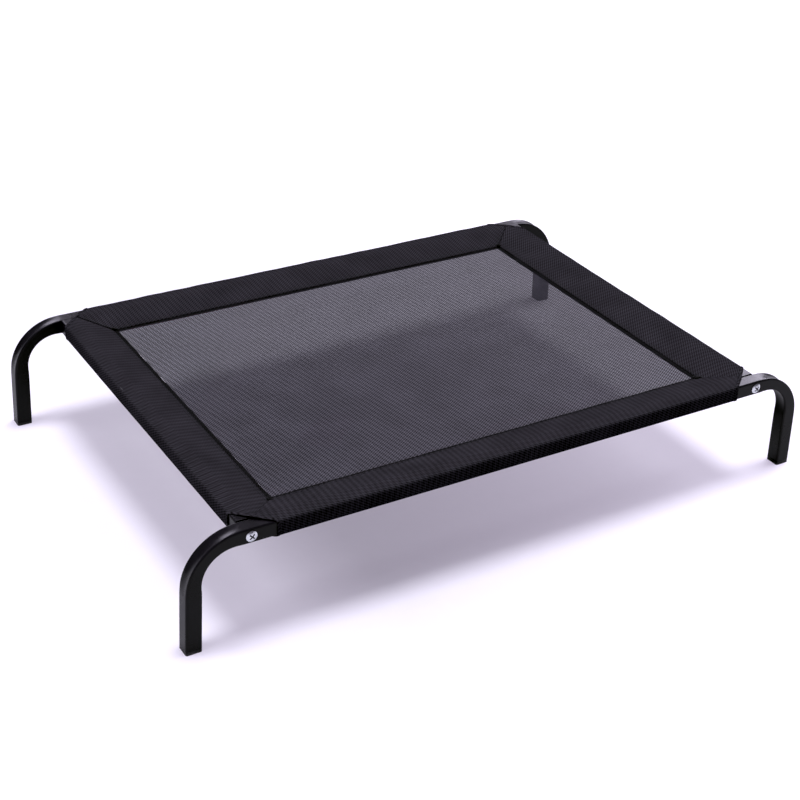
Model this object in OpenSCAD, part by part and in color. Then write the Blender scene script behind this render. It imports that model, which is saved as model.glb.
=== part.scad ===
// Raised pet bed: two bent square-tube end-to-end frames, two short cross rails
// bolted between them, and a mesh cover whose four sleeves slide over the rails.
// Origin: middle of the footprint, on the floor. +X is the long way, -Y is the front.

/* [Overall] */
// Length over the feet
bed_l = 1105; // [950:5:1300]
// Width over the outer faces of the long rails
bed_w = 728; // [600:1:850]
// Height of the top of the rails above the floor
bed_h = 181; // [160:0.5:220]

/* [Tube] */
// Side of the square steel tube
tube = 25; // [22:0.5:26]
// Wall thickness of the tube
wall = 1.2; // [1:0.1:1.5]
// Outer corner radius of the tube
tube_r = 3; // [2:0.1:3.5]

/* [Legs] */
// Centreline radius of the bend at the top of each leg
bend_r = 68; // [55:1:75]
// Outward lean of each leg, in degrees
leg_splay = 2; // [1:0.5:3]
// Distance from the middle of a short rail to the joint between leg and long rail
joint_inset = 60; // [55:1:90]
// Length of the reduced spigot that slides into the long rail
spigot_l = 45; // [30:1:60]

/* [Short rails] */
// Distance from each end of the bed to the middle of a short rail
rail_inset = 102.5; // [97.5:0.5:130]
// Length of the threaded insert in each end of a short rail
insert_l = 25; // [20:1:35]

/* [Corner bolts] */
// Diameter of the bolt shank
bolt_d = 6; // [5:1:6]
// Diameter of the bolt's wide head
head_d = 17; // [14:0.5:20]
// Height of the bolt's domed head
head_h = 3.2; // [2.8:0.1:4]
// Shank length under the head
bolt_l = 43; // [40:1:46]
// Length of the cross recess across the head
recess_l = 10; // [7:0.1:11]
// Width of each slot of the cross recess
recess_w = 2.3; // [1.4:0.1:2.8]

/* [Feet] */
// Height of the visible rim under the end of the tube
foot_rim = 4; // [3:0.5:6]
// Length of the plug inside the tube
foot_plug = 18; // [12:1:25]

/* [Cover] */
// Thickness of the cover's walls
cloth = 1.2; // [1:0.1:1.5]
// Clearance between the cover and the frame, and between the cover's own pieces
cloth_gap = 0.3; // [0.2:0.1:0.5]
// Width of the double-layer border along the long rails, from the rail's outer face
border_long = 77; // [65:0.5:90]
// Width of the double-layer border along the short rails, from the rail's outer face
border_short = 80.5; // [65:0.5:90]
// Depth of the seam and mesh panel below the top of the rails
seam_drop = 15; // [11:0.5:17]
// Distance from the middle of a short rail to the end of a long sleeve
cut_long = 39; // [30:1:45]
// Distance from the middle of a long rail to the end of a short sleeve
cut_short = 33.5; // [30:0.5:45]

/* [Hidden] */
$fn = 64;

// Colours
powder_black = "#1c1a1f";
cap_black = "#141316";
zinc = "#c9c9ce";
border_cloth = "#2c2b31";
mesh_cloth = "#4a4852";
thread_black = "#0e0d10";

// Frame lines: middles of the rails, height of their axis, start of the bends to a hundredth
rail_x = bed_l / 2 - rail_inset;
rail_y = (bed_w - tube) / 2;
axis_z = bed_h - tube / 2;
joint_x = rail_x - joint_inset;
turn = 90 - leg_splay;
bend_z = axis_z - bend_r;
knee_z = bend_z + bend_r * cos(turn);
foot_x = bed_l / 2 - tube / 2 / cos(leg_splay);
bend_x = round(100 * (foot_x - knee_z * tan(leg_splay) - bend_r * sin(turn))) / 100;

// Inside of the tube
bore = tube - 2 * wall;
bore_r = tube_r - wall;
plug_side = bore - 0.4;
spigot_wall = 1.2;
collar_l = 6;

// The tube swells a hair through the bend, and the straights run a little way into it
bend_swell = 0.04;
bury = 0.5;

// Bolts, their holes and the inserts they screw into
bolt_hole_d = bolt_d + 0.4;
thread_gap = 0.1;
short_end = rail_y - tube / 2;
recess_deep = 1.9;
head_edge = 0.9;

// Cover: the sleeve's outline round the rail, and the corners of the cut cloth
wrap = cloth_gap + cloth;
seam_z = bed_h - seam_drop;
panel_x = rail_x + tube / 2 - border_short;
panel_y = bed_w / 2 - border_long;
outer_x = rail_x + tube / 2 + wrap;
outer_y = bed_w / 2 + wrap;
stop_x = rail_x - cut_long;
stop_y = rail_y - cut_short;
mitre_x = (outer_x + stop_x) / 2;
mitre_y = (outer_y + stop_y) / 2;
bartack_l = 9;
bartack_r = 1.3;
bartack_lift = 2.3;

// ---------- shared shapes ----------

// Square with round corners, centred
module rounded_square(side, r) {
    inner = side - 2 * r;
    union() {
        square([side, inner], center = true);
        square([inner, side], center = true);
        for (sx = [-1, 1], sy = [-1, 1])
            translate([sx * inner / 2, sy * inner / 2]) circle(r);
    }
}

// Section of the square tube, its wall thickened by half the swell on each side
module tube_section(swell = 0) {
    difference() {
        rounded_square(tube + swell, tube_r + swell / 2);
        rounded_square(bore - swell, bore_r - swell / 2);
    }
}

// Straight tube along +X from the origin
module tube_along_x(length) {
    rotate([90, 0, 90]) linear_extrude(length) tube_section();
}

// Mirror copy chosen by the signs of an end, for parts drawn at the +X, +Y corner
module at_corner(sx, sy) {
    mirror([sx < 0 ? 1 : 0, 0, 0]) mirror([0, sy < 0 ? 1 : 0, 0]) children();
}

// ---------- frame ----------

module long_rail(sy) {
    color(powder_black) translate([-joint_x, sy * rail_y, axis_z]) tube_along_x(2 * joint_x);
}

module short_rail(sx) {
    color(powder_black)
        translate([sx * rail_x, -short_end, axis_z])
            rotate([0, 0, 90]) tube_along_x(2 * short_end);
}

// Leg at the +X, +Y corner, from the tip of its spigot to the cut above the end cap
module leg() {
    difference() {
        union() {
            leg_bend();
            leg_upright();
            leg_stub();
            spigot();
        }
        translate([0, -tube, -tube]) cube([bed_l, 2 * tube, tube + foot_rim]);
        translate([rail_x, 0, axis_z])
            rotate([90, 0, 0]) cylinder(d = bolt_hole_d, h = 2 * tube, center = true);
    }
}

// Quarter bend between the level stub and the leaning upright
module leg_bend() {
    translate([bend_x, 0, bend_z])
        rotate([90, 0, 0])
            rotate_extrude(angle = turn, start = leg_splay)
                translate([bend_r, 0]) tube_section(bend_swell);
}

// Upright, drawn a little too long so that it can be cut level
module leg_upright() {
    translate([bend_x, 0, bend_z])
        rotate([0, -leg_splay, 0]) translate([bend_r, 0, bury]) rotate([180, 0, 0])
            linear_extrude(bend_z + tube) tube_section();
}

// Level stub between the joint with the long rail and the bend
module leg_stub() {
    translate([joint_x, 0, axis_z])
        rotate([0, 90, 0]) linear_extrude(bend_x + bury - joint_x) tube_section();
}

// Connector fixed in the end of the leg, which slides into the long rail
module spigot() {
    core = plug_side - 2 * spigot_wall;
    translate([joint_x - spigot_l, 0, axis_z])
        rotate([0, 90, 0]) {
            linear_extrude(spigot_l + 2 * bury) difference() {
                rounded_square(plug_side, bore_r);
                square(core, center = true);
            }
            translate([0, 0, spigot_l + bury]) linear_extrude(collar_l) difference() {
                rounded_square(bore + bury / 2, bore_r);
                square(core - bury, center = true);
            }
        }
}

module corner_leg(sx, sy) {
    color(powder_black) at_corner(sx, sy) translate([0, rail_y, 0]) leg();
}

// End cap: a rim that carries the leg, and a plug inside the tube
module foot(sx, sy) {
    color(cap_black)
        at_corner(sx, sy) translate([0, rail_y, 0])
            intersection() {
                union() {
                    difference() {
                        foot_block(tube, tube_r, foot_rim);
                        translate([0, -tube, foot_rim]) cube([bed_l, 2 * tube, bed_h]);
                    }
                    foot_block(plug_side, bore_r, foot_rim + foot_plug);
                }
                cube([2 * bed_l, 4 * tube, 2 * (foot_rim + foot_plug)], center = true);
                translate([0, -tube, 0]) cube([bed_l, 2 * tube, bed_h]);
            }
}

// Stretch of the leaning upright, from below the floor up to a height
module foot_block(side, r, height) {
    below = 5;
    translate([foot_x + below * tan(leg_splay), 0, -below])
        rotate([0, -leg_splay, 0]) linear_extrude(height + below) rounded_square(side, r);
}

// ---------- fasteners ----------

// Wide-head bolt along -Y, its head on the outer face of the leg
module bolt(sx, sy) {
    seat = bed_w / 2;
    color(zinc)
        at_corner(sx, sy) translate([rail_x, seat, axis_z])
            difference() {
                union() {
                    rotate([90, 0, 0]) cylinder(d = bolt_d, h = bolt_l);
                    bolt_head();
                }
                for (a = [45, 135])
                    rotate([0, a, 0])
                        translate([-recess_l / 2, head_h - recess_deep, -recess_w / 2])
                            cube([recess_l, 2 * recess_deep, recess_w]);
            }
}

// Low dome on a short rim, growing along +Y from the seat
module bolt_head() {
    dome = head_h - head_edge;
    dome_r = (head_d * head_d / 4 + dome * dome) / (2 * dome);
    rotate([-90, 0, 0])
        intersection() {
            cylinder(d = head_d, h = head_h);
            translate([0, 0, head_h - dome_r]) sphere(dome_r, $fn = 128);
        }
}

// Threaded insert pressed into the end of a short rail
module insert(sx, sy) {
    color(zinc)
        at_corner(sx, sy) translate([rail_x, short_end, axis_z])
            rotate([90, 0, 0])
                difference() {
                    linear_extrude(insert_l) rounded_square(bore, bore_r);
                    translate([0, 0, -1]) cylinder(d = bolt_d + thread_gap, h = insert_l + 2);
                }
}

// ---------- cover ----------

// Teardrop outline round a rail: depth runs in from the rail's outer face, height from the rail's axis
module sleeve_outline(depth, clear) {
    half = tube / 2 + clear;
    lip = clear - cloth_gap;
    seam_h = seam_z - axis_z;
    polygon([
        [-clear, -half], [-clear, half], [tube, half],
        [depth, seam_h + max(lip, 0.01)], [depth, seam_h - max(lip, 0.01)], [tube, -half],
    ]);
}

// Sleeve section: an outer skin and the pocket that the rail slides in
module sleeve_section(depth) {
    difference() {
        sleeve_outline(depth, wrap);
        sleeve_outline(depth - 6, cloth_gap);
    }
}

// Sleeve drawn along +X on the rail at +Y, trimmed to its cut outline
module sleeve(length, face_y, depth) {
    intersection() {
        translate([-length / 2, face_y, axis_z])
            rotate([90, 0, 90]) linear_extrude(length)
                mirror([1, 0]) sleeve_section(depth);
        translate([0, 0, bed_h / 2]) linear_extrude(bed_h) children();
    }
}

// Plan of a cut sleeve: stops short of the corners and meets its neighbour at a mitre
module cut_plan(stop, edge, mitre, inner) {
    gap = cloth_gap;
    polygon([
        [-stop, edge], [-mitre[0] + gap, mitre[1]], [-inner[0] + gap, inner[1]],
        [inner[0] - gap, inner[1]], [mitre[0] - gap, mitre[1]], [stop, edge],
    ]);
}

module long_sleeve(sy) {
    color(border_cloth)
        at_corner(1, sy)
            sleeve(2 * outer_x, bed_w / 2, border_long)
                cut_plan(stop_x, outer_y, [mitre_x, mitre_y], [panel_x, panel_y]);
}

module short_sleeve(sx) {
    color(border_cloth)
        at_corner(sx, 1) rotate([0, 0, -90])
            sleeve(2 * outer_y, rail_x + tube / 2, border_short)
                cut_plan(stop_y, outer_x, [mitre_y, mitre_x], [panel_y, panel_x]);
}

module mesh_panel() {
    half = [panel_x - cloth_gap, panel_y - cloth_gap];
    color(mesh_cloth)
        translate([-half[0], -half[1], seam_z - cloth / 2])
            cube([2 * half[0], 2 * half[1], cloth]);
}

// Knots of thread over the four inner corners of the border
module corner_bartacks() {
    height = seam_z + cloth + cloth_gap + bartack_r + bartack_lift;
    color(thread_black)
        for (sx = [-1, 1], sy = [-1, 1])
            at_corner(sx, sy) translate([panel_x + 7, panel_y + 7, height])
                rotate([0, 90, 45]) {
                    cylinder(r = bartack_r, h = bartack_l, center = true, $fn = 24);
                    for (end = [-1, 1])
                        translate([0, 0, end * bartack_l / 2]) sphere(bartack_r, $fn = 24);
                }
}

long_rail(-1);  // long_rail_front
long_rail(1);  // long_rail_back
short_rail(-1);  // short_rail_left
short_rail(1);  // short_rail_right
corner_leg(-1, -1);  // leg_front_left
corner_leg(1, -1);  // leg_front_right
corner_leg(-1, 1);  // leg_back_left
corner_leg(1, 1);  // leg_back_right
foot(-1, -1);  // foot_front_left
foot(1, -1);  // foot_front_right
foot(-1, 1);  // foot_back_left
foot(1, 1);  // foot_back_right
bolt(-1, -1);  // bolt_front_left
bolt(1, -1);  // bolt_front_right
bolt(-1, 1);  // bolt_back_left
bolt(1, 1);  // bolt_back_right
insert(-1, -1);  // insert_front_left
insert(1, -1);  // insert_front_right
insert(-1, 1);  // insert_back_left
insert(1, 1);  // insert_back_right
mesh_panel();
long_sleeve(-1);  // sleeve_front
long_sleeve(1);  // sleeve_back
short_sleeve(-1);  // sleeve_left
short_sleeve(1);  // sleeve_right
corner_bartacks();
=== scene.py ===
from math import cos, pi, radians, sin

import bmesh
import bpy
import numpy as np
from mathutils import Euler, Matrix, Vector


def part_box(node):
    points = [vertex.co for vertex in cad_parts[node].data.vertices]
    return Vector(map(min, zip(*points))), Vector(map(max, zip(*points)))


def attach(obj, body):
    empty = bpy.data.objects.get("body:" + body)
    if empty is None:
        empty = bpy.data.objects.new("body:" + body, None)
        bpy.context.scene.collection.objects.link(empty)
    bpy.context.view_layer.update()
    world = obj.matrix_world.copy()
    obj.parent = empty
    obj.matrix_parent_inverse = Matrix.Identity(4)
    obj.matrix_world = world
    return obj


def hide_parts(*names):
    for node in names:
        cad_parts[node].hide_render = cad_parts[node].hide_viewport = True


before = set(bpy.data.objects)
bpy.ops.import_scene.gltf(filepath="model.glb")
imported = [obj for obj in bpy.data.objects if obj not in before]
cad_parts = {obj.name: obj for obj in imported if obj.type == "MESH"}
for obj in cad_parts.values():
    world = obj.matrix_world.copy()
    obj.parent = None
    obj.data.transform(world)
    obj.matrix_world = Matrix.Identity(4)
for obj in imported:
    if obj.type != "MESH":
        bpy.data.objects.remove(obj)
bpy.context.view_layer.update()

MM = 0.001
ROW_BODY = "root"

# ---------------------------------------------------------------- the frame's own sizes

rail_low, rail_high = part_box("long_rail_front")
end_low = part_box("short_rail_left")[0]
front_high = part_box("sleeve_front")[1]
left_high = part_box("sleeve_left")[1]
panel_low, panel_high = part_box("mesh_panel")
knots_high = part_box("corner_bartacks")[1]
foot_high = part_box("foot_back_right")[1]
bolt_low, bolt_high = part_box("bolt_back_right")
bolt_centre = (bolt_low + bolt_high) / 2    # the bolt's axis runs across the bed
bolt_face = bolt_high.y

TUBE = rail_high.z - rail_low.z
RAIL_TOP = rail_high.z
RAIL_BOTTOM = rail_low.z
LONG_FACE = -rail_low.y               # outer face of a long rail, from the middle of the bed
SHORT_FACE = -end_low.x               # outer face of a short rail
LONG_SEAM = LONG_FACE + front_high.y  # depth of a long sleeve's inner seam, from the rail's outer face
SHORT_SEAM = SHORT_FACE + left_high.x
MITRE_X = front_high.x
MITRE_Y = left_high.y
LONG_CUT = 39.0 * MM                  # a sleeve is cut this far short of the crossing rail's middle
SHORT_CUT = 34.5 * MM
LONG_STOP = SHORT_FACE - TUBE / 2 - LONG_CUT
SHORT_STOP = LONG_FACE - TUBE / 2 - SHORT_CUT
PANEL_Z = (panel_low.z + panel_high.z) / 2
KNOT_REACH = 5.0 * MM                 # from the middle of a corner's knots to their far edge
KNOT_X = knots_high.x - KNOT_REACH
KNOT_Y = knots_high.y - KNOT_REACH

# ---------------------------------------------------------------- camera, floor and light

VIEW_FROM = Vector((-1.2137, -1.9778, 1.3960))
VIEW_YAW = 31.562
VIEW_DOWN = 29.566
VIEW_ROLL = 2.176
LENS = 71.375


def set_camera():
    """Looks over the front left corner, with a long lens."""
    turn = Euler((radians(90 - VIEW_DOWN), 0, radians(-VIEW_YAW))).to_matrix()
    turn = turn @ Matrix.Rotation(radians(VIEW_ROLL), 3, "Z")
    camera = bpy.data.objects.new("camera", bpy.data.cameras.new("camera"))
    camera.data.lens = LENS
    camera.data.sensor_width = 36
    camera.matrix_world = Matrix.Translation(VIEW_FROM) @ turn.to_4x4()
    bpy.context.scene.collection.objects.link(camera)
    bpy.context.scene.camera = camera


set_camera()


def linear(code):
    """An sRGB hex colour as linear red, green, blue and alpha."""
    parts = [int(code[i:i + 2], 16) / 255 for i in (1, 3, 5)]
    return (*[c / 12.92 if c <= 0.04045 else ((c + 0.055) / 1.055) ** 2.4 for c in parts], 1.0)


def add(tree, kind, wires=None, **settings):
    """Adds a node with its settings. Wires give an input a value, or the output of another node."""
    made = tree.nodes.new(kind)
    for name, value in settings.items():
        setattr(made, name, value)
    for place, value in (wires or {}).items():
        if isinstance(value, bpy.types.Node):
            value = value.outputs[0]
        if isinstance(value, bpy.types.NodeSocket):
            tree.links.new(value, made.inputs[place])
        else:
            made.inputs[place].default_value = value
    return made


def new_material(name):
    """An empty material and its tree."""
    made = bpy.data.materials.new(name)
    made.use_nodes = True
    made.node_tree.nodes.clear()
    return made, made.node_tree


def set_light():
    """A wide softbox overhead, a broad fill from each side, and two softboxes seen only in gloss."""
    world = bpy.data.worlds.new("studio")
    bpy.context.scene.world = world
    world.use_nodes = True
    tree = world.node_tree
    tree.nodes.clear()
    seen = add(tree, "ShaderNodeLightPath")
    fill = add(tree, "ShaderNodeBackground", {"Color": linear("#d9d2e6"), "Strength": 0.18})
    white = add(tree, "ShaderNodeBackground", {"Color": linear("#ffffff"), "Strength": 1.0})
    mixed = add(tree, "ShaderNodeMixShader", {0: seen.outputs["Is Camera Ray"], 1: fill, 2: white})
    add(tree, "ShaderNodeOutputWorld", {"Surface": mixed})
    # name, direction it comes from (azimuth from the back towards the right, elevation), width of the
    # source in degrees, strength
    for name, azimuth, elevation, spread, power in (
        ("overhead", 70, 83, 20, 4.1),
        ("left", -80, 38, 50, 2.9),
        ("right", 80, 32, 60, 2.6),
        ("gloss_right", 51, 27, 26, 1.6),
        ("gloss_back", 5, 25, 20, 0.75),
    ):
        lamp = bpy.data.lights.new(name, "SUN")
        lamp.energy = power
        lamp.angle = radians(spread)
        if name.startswith("gloss"):
            lamp.color = linear("#f1ebff")[:3]
        holder = bpy.data.objects.new(name, lamp)
        holder.visible_glossy = name.startswith("gloss")
        holder.visible_diffuse = not name.startswith("gloss")
        a, e = radians(azimuth), radians(elevation)
        towards = Vector((sin(a) * cos(e), cos(a) * cos(e), sin(e)))
        holder.rotation_mode = "QUATERNION"
        holder.rotation_quaternion = towards.to_track_quat("Z", "Y")
        bpy.context.scene.collection.objects.link(holder)
    look = bpy.context.scene.view_settings
    look.view_transform = "Standard"
    look.use_curve_mapping = True
    look.curve_mapping.black_level = (0.0045, 0.004, 0.0065)
    look.curve_mapping.update()


set_light()


def lay_floor():
    """A seamless pale studio floor with a painted glow, seen by the camera only, that keeps its shadows
    light.
    """
    made, tree = new_material("white_paper_with_painted_fill")
    place = add(tree, "ShaderNodeTexCoord")
    grain = add(tree, "ShaderNodeTexNoise", {"Vector": place.outputs["Object"], "Scale": 40.0})
    tone = add(tree, "ShaderNodeValToRGB", {"Fac": grain})
    tone.color_ramp.elements[0].color = linear("#a2a0ab")
    tone.color_ramp.elements[1].color = linear("#a6a4af")
    seen = add(tree, "ShaderNodeLightPath")
    # painted light: the camera-only glow grows towards the two sides, standing in for the side softboxes
    # reaching in under the bed, and is least just left of the bed's middle
    side = add(tree, "ShaderNodeSeparateXYZ", {0: place.outputs["Object"]})
    offset = add(tree, "ShaderNodeMath", {0: side.outputs[0], 1: 0.22}, operation="ADD")
    reach = add(tree, "ShaderNodeMath", {0: offset}, operation="ABSOLUTE")
    level = add(tree, "ShaderNodeMath", {0: reach, 1: 0.34, 2: 0.26}, operation="MULTIPLY_ADD")
    painted_fill_glow = add(tree, "ShaderNodeMath", {0: seen.outputs["Is Camera Ray"], 1: level}, operation="MULTIPLY")
    wires = {"Base Color": tone, "Roughness": 0.9, "Specular IOR Level": 0.0,
             "Emission Color": linear("#f0e4ff"), "Emission Strength": painted_fill_glow}
    shader = add(tree, "ShaderNodeBsdfPrincipled", wires)
    add(tree, "ShaderNodeOutputMaterial", {"Surface": shader})
    shape = bmesh.new()
    bmesh.ops.create_grid(shape, x_segments=2, y_segments=2, size=20.0)
    floor = finish_mesh("floor", shape, made)


def finish_mesh(name, shape, material, smooth=True):
    """Turns a bmesh into an object at the origin, with one material."""
    mesh = bpy.data.meshes.new(name)
    shape.to_mesh(mesh)
    shape.free()
    mesh.materials.append(material)
    mesh.polygons.foreach_set("use_smooth", [smooth] * len(mesh.polygons))
    made = bpy.data.objects.new(name, mesh)
    bpy.context.scene.collection.objects.link(made)
    return made


lay_floor()

# ---------------------------------------------------------------- materials

RECESS_REACH = 5.2 * MM    # the bolt's cross recess ends inside this radius
RECESS_SHADE_DEPTH = 0.75 * MM     # and is painted dark with shade deeper than this

WARP = 1.7 * MM    # spacing of the yarns that run along the bed's width
WEFT = 1.1 * MM    # spacing of the yarns that run along its length

# the lines that the cloth shows from a distance, as waves per millimetre along and across the bed,
# and how strongly each shows; the first fits a twill of four yarns, the others may be moire
TWILL = (
    (0.147, -0.225, 0.30),
    (0.108, 0.022, 0.12),
    (0.265, -0.030, 0.12),
)


def weave(tree, place):
    """The woven look at two sizes. Gives a slow pattern of ridges and ribs, and the height of each yarn.

    The yarns are taken to be 1.1 and 1.7 mm apart, too fine to show from where the bed is seen. So
    coarser lines are drawn too: two sets 3.7 mm apart, and ribs 9 mm apart.
    """
    total = 0.5
    for across, up, weight in TWILL:
        wave = (2 * pi * across / MM, 2 * pi * up / MM, 0.0)
        phase = add(tree, "ShaderNodeVectorMath", {0: place, 1: wave}, operation="DOT_PRODUCT")
        swing = add(tree, "ShaderNodeMath", {0: phase.outputs["Value"]}, operation="COSINE")
        total = add(tree, "ShaderNodeMath", {0: swing, 1: weight, 2: total}, operation="MULTIPLY_ADD")
    cells = add(tree, "ShaderNodeVectorMath", {0: place, 1: (WARP, WEFT, 1.0)}, operation="DIVIDE")
    count = add(tree, "ShaderNodeVectorMath", {0: cells}, operation="FLOOR")
    inside = add(tree, "ShaderNodeVectorMath", {0: cells}, operation="FRACTION")
    centred = add(tree, "ShaderNodeVectorMath", {0: inside, 1: (2, 2, 2), 2: (-1, -1, -1)},
                  operation="MULTIPLY_ADD")
    number = add(tree, "ShaderNodeSeparateXYZ", {0: count})
    edge = add(tree, "ShaderNodeSeparateXYZ", {0: centred})
    step = add(tree, "ShaderNodeMath", {0: number.outputs[0], 1: number.outputs[1]}, operation="SUBTRACT")
    turn = add(tree, "ShaderNodeMath", {0: step, 1: 4.0}, operation="FLOORED_MODULO")
    over = add(tree, "ShaderNodeMath", {0: turn, 1: 1.5}, operation="LESS_THAN")
    side = add(tree, "ShaderNodeMix", {"Factor": over, "A": edge.outputs[1], "B": edge.outputs[0]})
    round_off = add(tree, "ShaderNodeMath", {0: side, 1: 2.0}, operation="POWER")
    height = add(tree, "ShaderNodeMath", {0: 1.0, 1: round_off}, operation="SUBTRACT")
    return total, height


def mesh_cloth(name, from_uv, valley, crest, open_share=0.0):
    """Polyester yarn coated with black vinyl, woven open and heat set: matt, and see-through in one layer."""
    made, tree = new_material(name)
    source = add(tree, "ShaderNodeTexCoord")
    place = source.outputs["UV" if from_uv else "Object"]
    pattern, height = weave(tree, place)
    colour = add(tree, "ShaderNodeMix", {"Factor": pattern, "A": linear(valley), "B": linear(crest)},
                 data_type="RGBA")
    # uneven yarn tension shows as faint cloudy bands
    cloud = add(tree, "ShaderNodeTexNoise", {"Vector": place, "Scale": 16.0, "Detail": 3.0})
    band = add(tree, "ShaderNodeMapRange", {0: cloud, 1: 0.3, 2: 0.7, 3: 0.84, 4: 1.16})
    # painted shade and light: each yarn is drawn darker towards its edges and lighter on its crown
    yarn = add(tree, "ShaderNodeMapRange", {0: height, 1: 0.0, 2: 1.0, 3: 0.75, 4: 1.1})
    both = add(tree, "ShaderNodeMath", {0: band, 1: yarn}, operation="MULTIPLY")
    final = add(tree, "ShaderNodeMix", {"Factor": 1.0, "A": colour.outputs[2], "B": both},
                data_type="RGBA", blend_type="MULTIPLY")
    bump = add(tree, "ShaderNodeBump", {"Height": height, "Distance": 0.15 * MM, "Strength": 0.35})
    wires = {"Base Color": final.outputs[2], "Roughness": 0.7, "Specular IOR Level": 0.0, "Normal": bump}
    shader = add(tree, "ShaderNodeBsdfPrincipled", wires)
    if open_share:
        # the holes are 0.5 mm across, so they are drawn as lines where the cloth is thin
        cover = add(tree, "ShaderNodeMapRange", {0: pattern, 1: 0.0, 2: 1.0})
        cover.inputs[3].default_value = 1.0 - 0.45 * open_share
        cover.inputs[4].default_value = 1.0 - 1.55 * open_share
        tree.links.new(cover.outputs[0], shader.inputs["Alpha"])
    add(tree, "ShaderNodeOutputMaterial", {"Surface": shader})
    return made


def powder_coat():
    """Black polyester powder baked on steel tube: half gloss, with the faint orange peel of the melt."""
    made, tree = new_material("black_powder_coat")
    place = add(tree, "ShaderNodeTexCoord").outputs["Object"]
    # orange peel is about 1 mm across and is drawn at 2.5 mm so that it shows
    peel = add(tree, "ShaderNodeTexNoise", {"Vector": place, "Scale": 400.0, "Detail": 2.0})
    cloud = add(tree, "ShaderNodeTexNoise", {"Vector": place, "Scale": 22.0, "Detail": 4.0})
    tone = add(tree, "ShaderNodeValToRGB", {"Fac": cloud})
    tone.color_ramp.elements[0].position = 0.3
    tone.color_ramp.elements[0].color = linear("#08070b")
    tone.color_ramp.elements[1].position = 0.7
    tone.color_ramp.elements[1].color = linear("#0f0d13")
    gloss = add(tree, "ShaderNodeMapRange", {0: cloud, 1: 0.3, 2: 0.7, 3: 0.24, 4: 0.34})
    bump = add(tree, "ShaderNodeBump", {"Height": peel, "Distance": 0.05 * MM, "Strength": 0.5})
    wires = {"Base Color": tone, "Roughness": gloss, "IOR": 1.5, "Specular IOR Level": 0.155, "Normal": bump}
    shader = add(tree, "ShaderNodeBsdfPrincipled", wires)
    add(tree, "ShaderNodeOutputMaterial", {"Surface": shader})
    return made


def zinc_plate():
    """Steel, barrel plated with zinc and clear passivated: bright, a little cloudy, faintly blue."""
    made, tree = new_material("bright_zinc_plate")
    place = add(tree, "ShaderNodeTexCoord").outputs["Object"]
    cloud = add(tree, "ShaderNodeTexNoise", {"Vector": place, "Scale": 260.0, "Detail": 4.0})
    tone = add(tree, "ShaderNodeValToRGB", {"Fac": cloud})
    tone.color_ramp.elements[0].color = linear("#c9ccd2")
    tone.color_ramp.elements[1].color = linear("#eceef2")
    gloss = add(tree, "ShaderNodeMapRange", {0: cloud, 1: 0.3, 2: 0.7, 3: 0.16, 4: 0.3})
    # painted shade in the cross recess: near the bolt's axis and below its face the plate is drawn dark
    folded = add(tree, "ShaderNodeVectorMath", {0: place}, operation="ABSOLUTE")
    parts = add(tree, "ShaderNodeSeparateXYZ", {0: folded})
    flat = add(tree, "ShaderNodeCombineXYZ", {0: parts.outputs[0], 2: parts.outputs[2]})
    axis = (bolt_centre.x, 0.0, bolt_centre.z)
    radius = add(tree, "ShaderNodeVectorMath", {0: flat, 1: axis}, operation="DISTANCE")
    near = add(tree, "ShaderNodeMath", {0: radius.outputs["Value"], 1: RECESS_REACH}, operation="LESS_THAN")
    sunk = add(tree, "ShaderNodeMath", {0: parts.outputs[1], 1: bolt_face - RECESS_SHADE_DEPTH},
               operation="LESS_THAN")
    recess_shade = add(tree, "ShaderNodeMath", {0: near, 1: sunk}, operation="MULTIPLY")
    shown = add(tree, "ShaderNodeMix", {"Factor": recess_shade, "A": tone, "B": linear("#2b2a2f")}, data_type="RGBA")
    # tumbling marks are about 0.1 mm and are drawn at 0.5 mm
    marks = add(tree, "ShaderNodeTexNoise", {"Vector": place, "Scale": 2000.0, "Detail": 1.0})
    bump = add(tree, "ShaderNodeBump", {"Height": marks, "Distance": 0.02 * MM, "Strength": 0.4})
    wires = {"Base Color": shown.outputs[2], "Metallic": 1.0, "Roughness": gloss, "Normal": bump}
    shader = add(tree, "ShaderNodeBsdfPrincipled", wires)
    add(tree, "ShaderNodeOutputMaterial", {"Surface": shader})
    return made


def moulded_polyethylene():
    """Injection moulded black polyethylene from a spark-eroded mould: waxy, finely pitted."""
    made, tree = new_material("moulded_polyethylene")
    place = add(tree, "ShaderNodeTexCoord").outputs["Object"]
    # the mould's grain is about 0.2 mm and is drawn at 0.6 mm
    grain = add(tree, "ShaderNodeTexNoise", {"Vector": place, "Scale": 1600.0, "Detail": 2.0})
    tone = add(tree, "ShaderNodeValToRGB", {"Fac": grain})
    tone.color_ramp.elements[0].color = linear("#0f0f11")
    tone.color_ramp.elements[1].color = linear("#1a1a1d")
    bump = add(tree, "ShaderNodeBump", {"Height": grain, "Distance": 0.05 * MM, "Strength": 0.5})
    wires = {"Base Color": tone, "Roughness": 0.5, "IOR": 1.51, "Normal": bump}
    shader = add(tree, "ShaderNodeBsdfPrincipled", wires)
    add(tree, "ShaderNodeOutputMaterial", {"Surface": shader})
    return made


def bonded_thread():
    """Bonded polyester sewing thread: a tight twist that catches the light in slanting bands."""
    made, tree = new_material("bonded_polyester_thread")
    place = add(tree, "ShaderNodeTexCoord").outputs["Object"]
    # the twist's pitch is about 0.5 mm
    twist = add(tree, "ShaderNodeTexWave", {"Vector": place, "Scale": 300.0, "Distortion": 0.6},
                bands_direction="DIAGONAL")
    tone = add(tree, "ShaderNodeValToRGB", {"Fac": twist})
    tone.color_ramp.elements[0].color = linear("#040405")
    tone.color_ramp.elements[1].color = linear("#0d0c10")
    bump = add(tree, "ShaderNodeBump", {"Height": twist, "Distance": 0.08 * MM, "Strength": 0.6})
    wires = {"Base Color": tone, "Roughness": 0.7, "Specular IOR Level": 0.08, "Normal": bump}
    shader = add(tree, "ShaderNodeBsdfPrincipled", wires)
    add(tree, "ShaderNodeOutputMaterial", {"Surface": shader})
    return made


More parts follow.
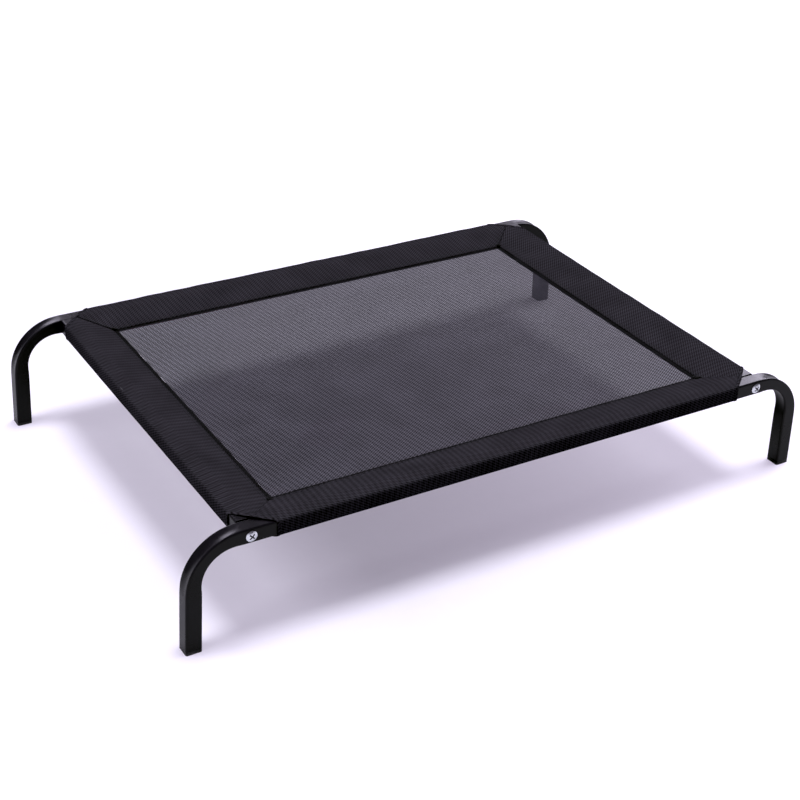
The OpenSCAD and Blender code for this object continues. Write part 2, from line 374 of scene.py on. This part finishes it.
POWDER = powder_coat()
ZINC = zinc_plate()
PLASTIC = moulded_polyethylene()
THREAD = bonded_thread()
PANEL_CLOTH = mesh_cloth("open_vinyl_mesh", False, "#08070a", "#3b3943", 0.28)
BORDER_CLOTH = mesh_cloth("doubled_vinyl_mesh", True, "#0a090c", "#2b2930")
# the folded hem is the border's own cloth, drawn darker as painted shade
SHADED_HEM_CLOTH = mesh_cloth("folded_vinyl_mesh_painted_shade", True, "#09090b", "#17161a")

for node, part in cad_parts.items():
    if node.startswith(("long_rail", "short_rail", "leg")):
        finish = POWDER
    elif node.startswith("foot"):
        finish = PLASTIC
    elif node.startswith(("bolt", "insert")):
        finish = ZINC
    else:
        finish = BORDER_CLOTH
    part.data.materials.clear()
    part.data.materials.append(finish)

# ---------------------------------------------------------------- the cover

CLOTH = 0.9 * MM    # one layer of the mesh
LAP = 3.0 * MM      # the short sleeves run on under the long ones at the mitre
TUCK = 9.0 * MM     # and dip over this length
SNUG = 1.0 * MM     # the cover's outside stands this far off the rail
ROUND = 4.5 * MM    # radius of the cover over the rail's edge
LIP_Z = PANEL_Z + 2.0 * MM       # top of the sleeve at its inner edge
UNDER_Z = PANEL_Z - 1.2 * MM     # underside of the sleeve at the inner seam
SAG = 2.5 * MM                   # how far the loosest cloth stands off, beside and below the rail
HIP = TUBE - 2.5 * MM            # depth of the centre of the rounding over the rail's inner edges
SHOULDER = 26.0 * MM             # the tops of two sleeves blend over this width at a corner

# small waves of stretched cloth: height in mm, radians per metre along and across the bed, start
CLOTH_WAVES = (
    (0.22, 61, 17, 0.4),
    (0.18, 23, -71, 1.9),
    (0.12, 137, 88, 4.0),
    (0.10, -119, 143, 2.2),
)
FOLD_X = LONG_STOP - 1.0 * MM    # the corner folds fan out from here
FOLD_Y = SHORT_STOP - 1.0 * MM
FOLD_SPREAD = 35.0 * MM
FOLD_HEIGHT = 0.4


def along(points, count):
    """Points at even steps along a polyline."""
    points = np.array(points)
    steps = np.hypot(*np.diff(points, axis=0).T)
    run = np.concatenate([[0], np.cumsum(steps)])
    even = np.linspace(0, run[-1], count)
    return np.column_stack([np.interp(even, run, points[:, i]) for i in (0, 1)])


def arc(centre_d, centre_z, radius, start, end, count=12):
    """Points on an arc in a section: angle 0 points inwards, 90 degrees up."""
    return [(centre_d + radius * cos(radians(a)), centre_z + radius * sin(radians(a)))
            for a in np.linspace(start, end, count)]


def outline(seam, hem, bag, counts):
    """Half a sleeve's section as depth and height: along the top, round the outside, back along the bottom.

    Bag is 0 where the cover is tight on the rail and 1 where it stands off it.
    """
    top = RAIL_TOP + SNUG
    bottom = RAIL_BOTTOM - SNUG - SAG * bag
    middle = 0.45 * TUBE
    upper = [(seam - hem, LIP_Z)] + arc(HIP, top - ROUND, ROUND, 77, 90, 6) + [(middle, top)]
    lower = [(middle, bottom)] + arc(HIP, bottom + ROUND, ROUND, -90, -80, 6) + [(seam, UNDER_Z)]
    reach = middle + SNUG + SAG * bag
    height = (top - bottom) / 2
    centre = (top + bottom) / 2
    power = 7.0 - 4.0 * bag
    outside = []
    for a in np.radians(np.linspace(90, 270, 81)):
        d = -abs(cos(a)) ** (2 / power) * reach
        z = np.sign(sin(a)) * abs(sin(a)) ** (2 / power) * height
        outside.append((middle + d, centre + z))
    parts = [along(p, n) for p, n in zip((upper, outside, lower), counts)]
    return np.concatenate([parts[0], parts[1][1:], parts[2][1:]])


COUNTS = (22, 40, 18)


def soft_least(a, b, width):
    """The smaller of two values, rounded over where they meet."""
    mix = np.clip(0.5 + 0.5 * (b - a) / width, 0, 1)
    return b + (a - b) * mix - width * mix * (1 - mix)


def slack(x, y):
    """Small rises and dips of stretched cloth, the same for both sleeves at a corner."""
    wave = sum(height * np.sin(along_x * x + along_y * y + start)
               for height, along_x, along_y, start in CLOTH_WAVES)
    past_x = np.abs(x) - FOLD_X
    past_y = np.abs(y) - FOLD_Y
    pull = np.hypot(past_x, past_y)
    fan = np.cos((past_x - past_y) * 260 + 2 * np.sign(x) + np.sign(y))
    fold = FOLD_HEIGHT * np.exp(-(pull / FOLD_SPREAD) ** 2) * fan
    return (wave + fold) * MM


class Sleeve:
    """One side of the border: mesh cloth folded round a rail and sewn to the panel's edge."""

    def __init__(self, name, lengthwise, side, bag):
        self.name = name
        self.lengthwise = lengthwise
        self.side = side
        self.bag = bag
        self.face = LONG_FACE if lengthwise else SHORT_FACE
        self.seam = LONG_SEAM if lengthwise else SHORT_SEAM
        self.stop = LONG_STOP if lengthwise else SHORT_STOP
        self.mitre = MITRE_X if lengthwise else MITRE_Y
        self.turn = LONG_FACE - MITRE_Y if lengthwise else SHORT_FACE - MITRE_X
        self.inner = -left_high.x if lengthwise else -front_high.y
        self.hem = 4.5 * MM if lengthwise else 7.0 * MM    # the folded hem that shows inside the top layer
        self.tight = outline(self.seam, self.hem, 0.0, COUNTS)
        self.loose = outline(self.seam, self.hem, 1.0, COUNTS)

    def half_length(self, depth):
        """Half the sleeve's length at a depth from the rail's outer face: cut, then mitre."""
        return np.interp(depth, [0.0, self.turn, self.seam], [self.stop, self.mitre, self.inner])

    def place(self, run, row):
        """A point of the cloth's outside. Run goes from -1 to 1 along the rail, row round the section."""
        loose = self.bag(run * self.stop)
        at = row * (len(self.tight) - 1)
        rows = np.arange(len(self.tight))
        pair = []
        for i in (0, 1):
            tight = np.interp(at, rows, self.tight[:, i])
            pair.append(tight + loose * (np.interp(at, rows, self.loose[:, i]) - tight))
        depth, z = pair
        half = self.half_length(depth)
        length = run * half
        if not self.lengthwise:
            past = np.clip((depth - self.turn) / TUCK, 0, 1)
            near = np.clip(1 - (half - np.abs(length)) / TUCK, 0, 1)
            length = length + np.sign(run) * LAP * past * near
            z = z - 1.3 * CLOTH * near * near * past * np.sign(z - RAIL_BOTTOM - TUBE / 2)
        across = self.side * (self.face - depth)
        x, y = (length, across) if self.lengthwise else (across, length)
        top = np.clip((z - RAIL_BOTTOM - TUBE / 2) / (TUBE / 2), 0, 1)
        other = (SHORT_FACE - np.abs(x)) if self.lengthwise else (LONG_FACE - np.abs(y))
        lift = soft_least(depth, other, SHOULDER) - np.minimum(depth, other)
        z = z - 0.23 * lift * top
        return x, y, z + slack(x, y) * (top + 0.5 * (depth < 0))

    def section_run(self):
        """Distance along the cloth from the top seam, for each row."""
        steps = np.hypot(*np.diff(self.tight, axis=0).T)
        return np.concatenate([[0], np.cumsum(steps)])


def formula_grid(columns, rows, place, flip=False):
    """A grid whose points are put by a formula of two shares from 0 to 1. UVs are in metres."""
    shape = bmesh.new()
    bmesh.ops.create_grid(shape, x_segments=columns, y_segments=rows, size=1.0)
    shares = np.array([v.co for v in shape.verts])
    shares = (shares[:, :2] + 1) / 2
    x, y, z, u, v = place(shares[:, 0], shares[:, 1])
    for vert, point in zip(shape.verts, np.column_stack([x, y, z])):
        vert.co = point
    layer = shape.loops.layers.uv.new("cloth")
    for face in shape.faces:
        for loop in face.loops:
            i = loop.vert.index
            loop[layer].uv = (u[i], v[i])
    if flip:
        bmesh.ops.reverse_faces(shape, faces=shape.faces[:])
    return shape


def close_up(shape):
    """Joins the edges of a grid that has been rolled up, and turns its faces outwards."""
    bmesh.ops.remove_doubles(shape, verts=shape.verts, dist=1e-6)
    bmesh.ops.recalc_face_normals(shape, faces=shape.faces)


def ride_as(piece, slot_name, *nodes):
    """Fixes a piece to the frame and hides what it stands for. The name of its finish is not used."""
    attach(piece, ROW_BODY)
    if nodes:
        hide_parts(*nodes)


def thicken(piece, thickness, offset=-1.0):
    """Gives a sheet its thickness."""
    wall = piece.modifiers.new("wall", "SOLIDIFY")
    wall.thickness = thickness
    wall.offset = offset
    wall.use_even_offset = True


def sew_sleeve(sleeve, columns):
    """The cloth of one sleeve, as a grid wrapped round the rail."""
    runs = sleeve.section_run()
    rows = len(sleeve.tight) - 1

    def place(s, t):
        x, y, z = sleeve.place(2 * s - 1, t)
        length = x if sleeve.lengthwise else y
        return x, y, z, length, np.interp(t * rows, np.arange(rows + 1), runs)

    outward = sleeve.side < 0 if sleeve.lengthwise else sleeve.side > 0
    shape = formula_grid(columns, rows, place, flip=outward)
    piece = finish_mesh(sleeve.name + "_cloth", shape, BORDER_CLOTH)
    thicken(piece, CLOTH)
    ride_as(piece, "border_cloth", sleeve.name)
    return piece


CORNERS = [(x, y) for y in (-1, 1) for x in (-1, 1)]


def corner_name(x, y):
    """A corner's name, as the frame's nodes have it."""
    return ("front" if y < 0 else "back") + "_" + ("left" if x < 0 else "right")


SLEEVES = {
    "front": Sleeve("sleeve_front", True, -1, lambda x: 0.15 * np.exp(-((x + 0.2) / 0.2) ** 2)),
    "back": Sleeve("sleeve_back", True, 1, lambda x: 0.3 * np.exp(-((x - 0.1) / 0.2) ** 2)),
    "left": Sleeve("sleeve_left", False, -1, lambda y: 0.3 * (1 - (y / 0.4) ** 4)),
    "right": Sleeve("sleeve_right", False, 1, lambda y: 0.35 * (1 - (y / 0.33) ** 2)),
}
CLOTHS = {side: sew_sleeve(s, 220 if s.lengthwise else 150) for side, s in SLEEVES.items()}


def stretch_panel():
    """One layer of open mesh, tight as a drum skin, with the least sag in its middle."""
    half_x = panel_high.x
    half_y = panel_high.y

    def place(s, t):
        x = (2 * s - 1) * half_x
        y = (2 * t - 1) * half_y
        sag = -1.2 * MM * (1 - (x / half_x) ** 2) * (1 - (y / half_y) ** 2)
        ripple = 0.15 * MM * (np.sin(19 * x + 31 * y) + np.sin(43 * x - 11 * y + 1.0))
        rim = np.clip((1 - (x / half_x) ** 8) * (1 - (y / half_y) ** 8), 0, 1)
        return x, y, PANEL_Z + sag + ripple * rim, x, y

    shape = formula_grid(96, 72, place)
    piece = finish_mesh("panel_cloth", shape, PANEL_CLOTH)
    thicken(piece, 0.6 * MM, 0.0)
    ride_as(piece, "mesh_cloth", "mesh_panel")
    return piece


PANEL = stretch_panel()

# ---------------------------------------------------------------- bent tube

# the sizes that no box in the frame gives, as the part's own design has them
BEND_R = 68.0 * MM               # centreline radius of the bend
LEAN = 2.0                       # degrees that a leg leans outwards
WALL = 1.2 * MM
EDGE_R = 3.0 * MM                # the tube's corner radius
CAP_TOP = 4.0 * MM               # the rim of the end cap, which the tube stands on

STUB_X = rail_high.x             # where the leg meets the long rail, inside the cover
AXIS_Z = (RAIL_TOP + RAIL_BOTTOM) / 2
AXIS_Y = LONG_FACE - TUBE / 2
FOOT_X = foot_high.x - TUBE / 2 / cos(radians(LEAN))
TURN = radians(90 - LEAN)
KNEE_Z = AXIS_Z - BEND_R * (1 - cos(TURN))
BEND_X = FOOT_X - KNEE_Z * sin(radians(LEAN)) / cos(radians(LEAN)) - BEND_R * sin(TURN)

# how far the press moves the walls of the bend, at its middle
OUTER_PRESS = 2.6 * MM           # the whole outer wall, inwards
OUTER_DISH = 3.0 * MM            # more in the middle of that wall
INNER_PRESS = 2.9 * MM           # the inner wall, outwards
INNER_DISH = 1.2 * MM
STUB_OUTER = 0.8 * MM            # the level stub is a little flattened too
STUB_INNER = 0.6 * MM
DISH_EDGE = 2.0 * MM             # the dish stops this far from the tube's sides
PRESS_RUN = 8.0 * MM             # the press reaches this far past each end of the bend
STUB_FADE = 30.0 * MM            # the flattening fades from here, past the start of the bend


def tube_outline(per_side=9, per_corner=6):
    """The tube's section: round-cornered square, as the outward and sideways place of each point."""
    half = TUBE / 2 - EDGE_R
    points = []
    for k, (p, q) in enumerate(((half, half), (-half, half), (-half, -half), (half, -half))):
        for a in np.radians(np.linspace(90 * k, 90 * k + 90, per_corner + 1)):
            points.append((p + EDGE_R * cos(a), q + EDGE_R * sin(a)))
    rolled = []
    for k in range(4):
        corner = points[k * (per_corner + 1):(k + 1) * (per_corner + 1)]
        after = points[(k + 1) * (per_corner + 1) % len(points)]
        rolled += corner
        for i in range(1, per_side):
            share = i / per_side
            rolled.append(tuple(np.array(corner[-1]) * (1 - share) + np.array(after) * share))
    rolled.append(rolled[0])
    return np.array(rolled)


SECTION = tube_outline()


def bend_leg(x_side, y_side):
    """A leg's tube: level stub, quarter bend and leaning upright.

    The bend is pressed without a mandrel, so there the tube is thinner, and its outer wall is dished.
    """
    arc_length = BEND_R * TURN
    stub = BEND_X - STUB_X
    upright = (KNEE_Z - CAP_TOP + WALL / 2) / sin(TURN)
    total = stub + arc_length + upright

    def place(s, t):
        at = s * total
        angle = np.clip((at - stub) / BEND_R, 0, TURN)
        down = np.clip(at - stub - arc_length, 0, None)
        x = STUB_X + np.clip(at, 0, stub) + BEND_R * np.sin(angle) + down * cos(TURN)
        z = AXIS_Z - BEND_R * (1 - np.cos(angle)) - down * sin(TURN)
        rows = np.arange(len(SECTION))
        out = np.interp(t * rows[-1], rows, SECTION[:, 0])
        across = np.interp(t * rows[-1], rows, SECTION[:, 1])
        into = np.clip((at - stub + PRESS_RUN) / (arc_length + 2 * PRESS_RUN), 0, 1)
        pressed = np.sin(pi * into) ** 1.2
        outer = np.clip(out / (TUBE / 2), 0, 1)
        inner = np.clip(-out / (TUBE / 2), 0, 1)
        dish = np.clip(1 - (across / (TUBE / 2 - DISH_EDGE)) ** 2, 0, 1) ** 1.5
        flat = 1 - np.clip((at - stub - STUB_FADE) / arc_length, 0, 1)
        out = out - outer * (STUB_OUTER * flat + pressed * (OUTER_PRESS + OUTER_DISH * dish))
        out = out + inner * (STUB_INNER * flat + pressed * (INNER_PRESS + INNER_DISH * dish))
        x = x + out * np.sin(angle)
        z = z + out * np.cos(angle)
        y = AXIS_Y + across
        return x_side * x, y_side * y, np.maximum(z, CAP_TOP), at, t * 4 * TUBE

    shape = formula_grid(84, len(SECTION) - 1, place)
    close_up(shape)
    name = corner_name(x_side, y_side)
    piece = finish_mesh("bent_leg_" + name, shape, POWDER)
    thicken(piece, WALL)
    ride_as(piece, "powder_coat", "leg_" + name)
    return piece


for corner in CORNERS:
    bend_leg(*corner)

# ---------------------------------------------------------------- hems, knots and stitches


def lay_hem(side, sleeve):
    """The folded hem that the panel is sewn to, which shows inside the border's top layer."""
    inner = sleeve.inner + (2.0 * MM if sleeve.lengthwise else 1.0 * MM)
    height = PANEL_Z + (1.0 if sleeve.lengthwise else 0.8) * MM

    def place(s, t):
        depth = sleeve.seam - sleeve.hem - 1.5 * MM + t * (sleeve.hem + 1.5 * MM)
        length = (2 * s - 1) * inner
        across = sleeve.side * (sleeve.face - depth)
        x, y = (length, across) if sleeve.lengthwise else (across, length)
        z = height - 0.5 * MM * t * t + slack(x, y)
        return x, y, z, length, depth

    shape = formula_grid(140, 5, place, flip=(sleeve.side > 0) == sleeve.lengthwise)
    # painted shade: the hem wears the darker copy of the border's cloth
    piece = finish_mesh("hem_" + side, shape, SHADED_HEM_CLOTH)
    thicken(piece, 1.1 * MM)
    ride_as(piece, "border_cloth")
    return piece


HEMS = {side: lay_hem(side, sleeve) for side, sleeve in SLEEVES.items()}


def opening_points(corner_x, corner_y):
    """The closed line round the cover's open corner, with the way into the cloth at each point."""
    long = SLEEVES["front" if corner_y < 0 else "back"]
    short = SLEEVES["left" if corner_x < 0 else "right"]
    line = []
    for sleeve, end, order in ((long, corner_x, 1), (short, corner_y, -1)):
        rows = np.linspace(0, 1, 400)
        x, y, z = sleeve.place(np.full(400, float(end)), rows)
        outer = LONG_FACE - np.abs(y) if sleeve.lengthwise else SHORT_FACE - np.abs(x)
        keep = outer < sleeve.turn
        points = np.column_stack([x, y, z])[keep][::order]
        inwards = (-end, 0, 0) if sleeve.lengthwise else (0, -end, 0)
        even = np.linspace(0, len(points) - 1, 44).round().astype(int)
        line += [(Vector(points[i]), Vector(inwards)) for i in even]
    return line


def ring(line, across, thick, offset, sides=8):
    """A rounded band swept round a closed line. Across and thick are half its width and height."""
    points = np.array([point for point, inwards in line])
    inwards = np.array([inwards for point, inwards in line])
    tangent = np.roll(points, -1, axis=0) - np.roll(points, 1, axis=0)
    tangent /= np.linalg.norm(tangent, axis=1)[:, None]
    into = inwards - tangent * (inwards * tangent).sum(axis=1)[:, None]
    into /= np.linalg.norm(into, axis=1)[:, None]
    normal = np.cross(tangent, into)
    middle = points + into * offset

    def place(s, t):
        i = np.round(s * len(line)).astype(int) % len(line)
        a = 2 * pi * t
        wide = into[i] * (across * np.cos(a))[:, None]
        high = normal[i] * (thick * np.sin(a))[:, None]
        x, y, z = (middle[i] + wide + high).T
        return x, y, z, s * len(line) * 1.5 * MM, across * 3 * t

    shape = formula_grid(len(line), sides, place)
    close_up(shape)
    return shape


STITCH_ROWS = (2.2 * MM, 6.0 * MM)    # from the border's inner edge
STITCH_LIFT = 0.1 * MM
KNOT_RISE = 3.6 * MM                  # the knots lie on the border's top, above the panel
KNOT_BARS = ((45, 5.5, 1.6), (-45, 3.6, 1.5), (10, 4.0, 1.2))    # turn, half length, half width
BATCH = 24


def stitch_row(points, pitch=3.4 * MM, length=2.6 * MM, thick=0.32 * MM):
    """Stitches at an even pitch along a line of points, each as its start, end and half thickness."""
    steps = np.concatenate([[0], np.cumsum(np.linalg.norm(np.diff(points, axis=0), axis=1))])
    row = []
    for at in np.arange(pitch, steps[-1] - pitch, pitch):
        ends = [[np.interp(q, steps, points[:, i]) for i in range(3)] for q in (at, at + length)]
        row.append((Vector(ends[0]), Vector(ends[1]), thick))
    return row


def sew(name, stitches, *nodes):
    """One piece of many short beads of thread. They are made a few at a time, which is much faster."""
    whole = bmesh.new()
    for first in range(0, len(stitches), BATCH):
        batch = bmesh.new()
        for start, end, thick in stitches[first:first + BATCH]:
            run = end - start
            turn = run.to_track_quat("X", "Z").to_matrix().to_4x4()
            size = Matrix.Diagonal((run.length / 2 + thick / 2, thick, thick * 0.7, 1.0))
            place = Matrix.Translation((start + end) / 2) @ turn @ size
            bmesh.ops.create_uvsphere(batch, u_segments=6, v_segments=4, radius=1.0, matrix=place)
        part = bpy.data.meshes.new("batch")
        batch.to_mesh(part)
        batch.free()
        whole.from_mesh(part)
        bpy.data.meshes.remove(part)
    piece = finish_mesh(name, whole, THREAD)
    ride_as(piece, "thread", *nodes)
    return piece


for corner in CORNERS:
    band = ring(opening_points(*corner), 2.6 * MM, 0.85 * MM, 2.0 * MM)
    hem = finish_mesh("opening_hem_" + corner_name(*corner), band, BORDER_CLOTH)
    ride_as(hem, "border_cloth")


def edge_rows():
    """Two rows of lockstitch along the inner edge of each side of the border."""
    rows = []
    for sleeve in SLEEVES.values():
        total = sleeve.section_run()
        for inset in STITCH_ROWS:
            row = np.interp(inset, total, np.linspace(0, 1, len(total)))
            x, y, z = sleeve.place(np.linspace(-1, 1, 500), np.full(500, row))
            rows += stitch_row(np.column_stack([x, y, z + STITCH_LIFT]))
    return rows


def knot_rows():
    """The thread knots over the border's inner corners: dense zigzags, one corner bigger and untidier."""
    rng = np.random.default_rng(7)
    rows = []
    for x, y in CORNERS:
        heavy = 1.5 if (x, y) == (1, -1) else 1.0
        middle = Vector((x * KNOT_X, y * KNOT_Y, PANEL_Z + KNOT_RISE))
        for lean, reach, wide in KNOT_BARS:
            turn = radians(lean * x * y + rng.uniform(-8, 8))
            along_bar = Vector((cos(turn), sin(turn), 0))
            over_bar = Vector((-sin(turn), cos(turn), 0))
            last = None
            for i in range(15):
                share = (i / 14 - 0.5) * 2
                swing = wide * MM * heavy * (1 if i % 2 else -1) * rng.uniform(0.7, 1.2)
                rise = 0.5 * MM * rng.uniform(0, 1) + 0.9 * MM * (1 - share * share)
                point = middle + along_bar * reach * MM * heavy * share + over_bar * swing
                point = point + Vector((0, 0, rise))
                if last is not None:
                    rows.append((last, point, 0.55 * MM * heavy))
                last = point
    return rows


STITCHES = sew("edge_stitches", edge_rows())
KNOTS = sew("corner_knots", knot_rows(), "corner_bartacks")

# ---------------------------------------------------------------- the cut cloths

for side, sleeve in SLEEVES.items():
    runs = sleeve.section_run()
    lengths = 2 * sleeve.half_length(sleeve.tight[:, 0])
